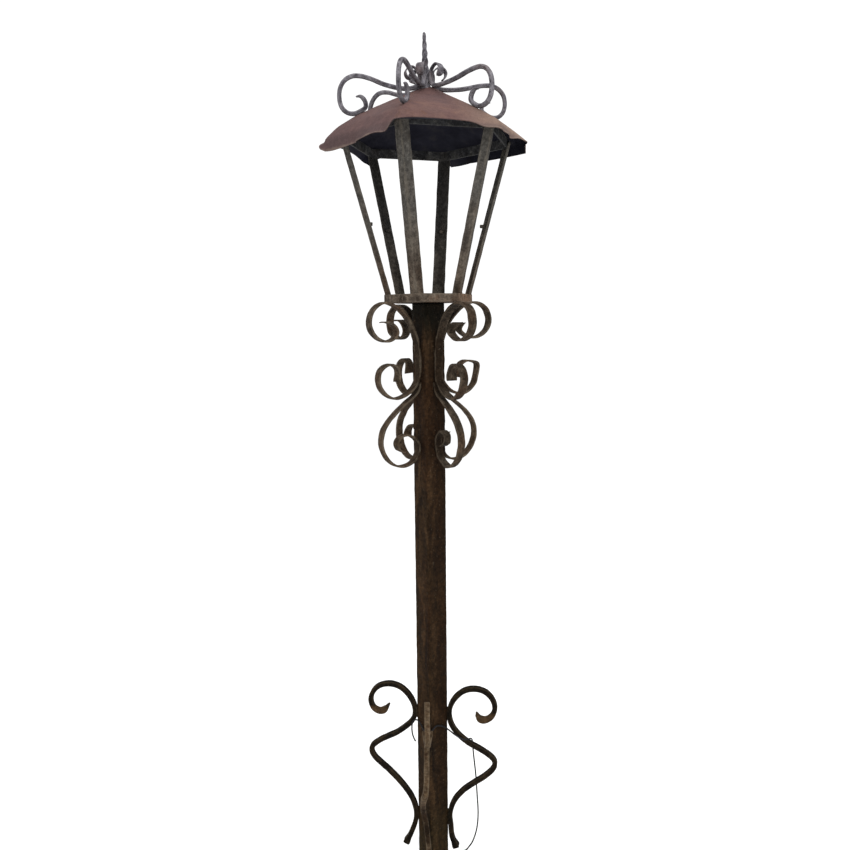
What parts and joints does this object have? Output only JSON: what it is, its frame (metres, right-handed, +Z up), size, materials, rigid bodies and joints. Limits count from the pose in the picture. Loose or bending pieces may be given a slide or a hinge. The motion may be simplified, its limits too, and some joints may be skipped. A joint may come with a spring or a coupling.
{
  "type": "street lamp post",
  "caption": "Wrought-iron garden lamp post: a slim square post with tiers of welded scrolls carries an open six-sided lantern cage under a folded sheet roof with a scroll crown.",
  "frame": {"origin": "centre of the underside of the base plate, on the post's axis", "axes": "+Z up along the post; -Y towards the front, +X to the right as seen from the front"},
  "size_m": [0.4976, 0.495, 2.2481],
  "materials": {
    "post_iron": "rusted, with worn dark paint",
    "strap_iron": "rusted, hammered",
    "cage_iron": "rusted",
    "crown_iron": "rusted, greyed by weather",
    "roof_sheet": "faded and weathered paint on rusted sheet",
    "black_rubber": "dull"
  },
  "bodies": {
    "root": {"post": "post_iron", "base_plate": "post_iron", "cable_gland": "black_rubber", "lead": "black_rubber", "lantern_ring": "cage_iron", "lantern_floor": "cage_iron", "upper_frame": "cage_iron", "corner_bar_1": "cage_iron", "corner_bar_2": "cage_iron", "corner_bar_3": "cage_iron", "corner_bar_4": "cage_iron", "corner_bar_5": "cage_iron", "corner_bar_6": "cage_iron", "glass_stud_1": "cage_iron", "glass_stud_2": "cage_iron", "glass_stud_3": "cage_iron", "glass_stud_4": "cage_iron", "glass_stud_5": "cage_iron", "glass_stud_6": "cage_iron", "roof_panel_1": "roof_sheet", "roof_panel_2": "roof_sheet", "roof_panel_3": "roof_sheet", "roof_panel_4": "roof_sheet", "roof_panel_5": "roof_sheet", "roof_panel_6": "roof_sheet", "crown_scroll_1": "crown_iron", "crown_scroll_2": "crown_iron", "crown_scroll_3": "crown_iron", "crown_scroll_4": "crown_iron", "crown_scroll_5": "crown_iron", "crown_scroll_6": "crown_iron", "finial": "crown_iron", "capital_scroll_1": "strap_iron", "capital_scroll_2": "strap_iron", "capital_scroll_3": "strap_iron", "capital_scroll_4": "strap_iron", "lower_scroll_1": "strap_iron", "lower_scroll_2": "strap_iron", "lower_scroll_3": "strap_iron", "lower_scroll_4": "strap_iron", "foot_scroll_1": "post_iron", "foot_scroll_2": "post_iron", "foot_scroll_3": "post_iron", "foot_scroll_4": "post_iron"}
  },
  "joints": []
}
